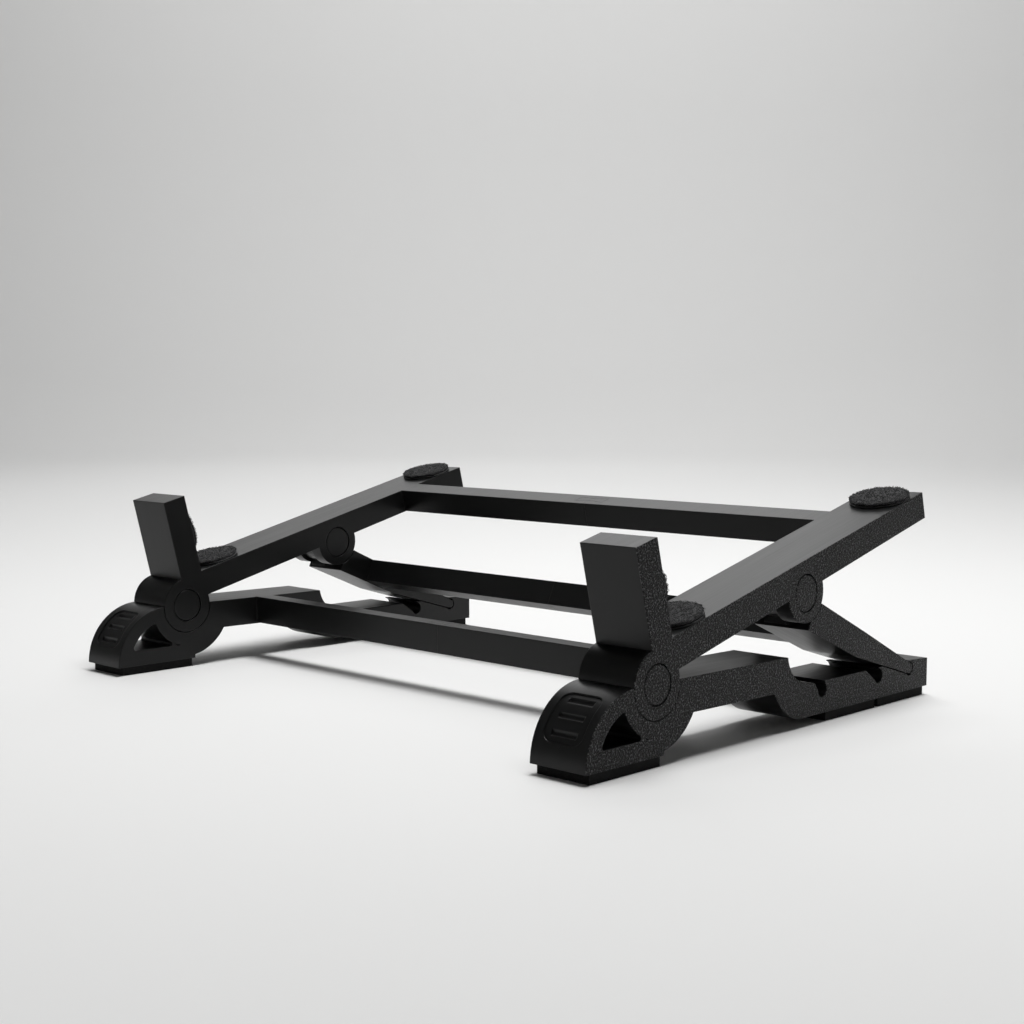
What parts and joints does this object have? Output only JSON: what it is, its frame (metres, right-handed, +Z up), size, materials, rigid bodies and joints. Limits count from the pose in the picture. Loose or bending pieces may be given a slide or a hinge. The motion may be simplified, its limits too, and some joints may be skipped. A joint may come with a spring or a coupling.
{
  "type": "tilting desktop instrument stand",
  "caption": "Low tilting stand for a desktop musical instrument: two hinged side frames with front lips, joined by crossbars, with fold-out struts that seat in notched base rails.",
  "frame": {"origin": "centre of the footprint, on the surface that the foot pads rest on", "axes": "+X along the crossbars to the right, +Y to the rear (the lips are at -Y), +Z up"},
  "size_m": [0.24, 0.1744, 0.0703],
  "materials": {
    "frame_plastic": "matte black printed plastic, pebbled on the outer side faces, fine layer lines elsewhere",
    "pin_plastic": "matte black printed plastic, pebbled ends",
    "foot_rubber": "dull black rubber",
    "hook_tape": "black woven hook tape with a satin edge",
    "loop_tape": "dark grey fuzzy loop pile"
  },
  "bodies": {
    "base": {"base_frame_left": "frame_plastic", "base_frame_right": "frame_plastic", "base_bar_key": "frame_plastic", "main_pin_left": "pin_plastic", "main_pin_right": "pin_plastic", "front_foot_pad_left": "foot_rubber", "front_foot_pad_right": "foot_rubber", "middle_foot_pad_left": "foot_rubber", "middle_foot_pad_right": "foot_rubber", "rear_foot_pad_left": "foot_rubber", "rear_foot_pad_right": "foot_rubber"},
    "arm": {"arm_frame_left": "frame_plastic", "arm_frame_right": "frame_plastic", "arm_bar_key": "frame_plastic", "lip_hook_pad_left": "hook_tape", "lip_hook_pad_right": "hook_tape", "front_hook_pad_left": "hook_tape", "front_hook_pad_right": "hook_tape", "rear_hook_pad_left": "hook_tape", "rear_hook_pad_right": "hook_tape", "lip_loop_pad_left": "loop_tape", "lip_loop_pad_right": "loop_tape", "front_loop_pad_left": "loop_tape", "front_loop_pad_right": "loop_tape", "rear_loop_pad_left": "loop_tape", "rear_loop_pad_right": "loop_tape"},
    "strut": {"strut_frame_left": "frame_plastic", "strut_frame_right": "frame_plastic", "strut_bar_key": "frame_plastic", "strut_pin_left": "pin_plastic", "strut_pin_right": "pin_plastic"}
  },
  "joints": [
    {"name": "arm_tilt", "type": "hinge", "parent": "base", "child": "arm", "pos_m": [0, -0.058, 0.0229], "axis": [1, 0, 0], "range_deg": [0, 28.5]},
    {"name": "strut_swing", "type": "hinge", "parent": "arm", "child": "strut", "pos_m": [0, 0.0135, 0.0412], "axis": [1, 0, 0], "range_deg": [-51.3, 0]}
  ],
  "couplings": [
    {"joint": "strut_swing", "follows": "arm_tilt", "ratio": -1.8}
  ]
}
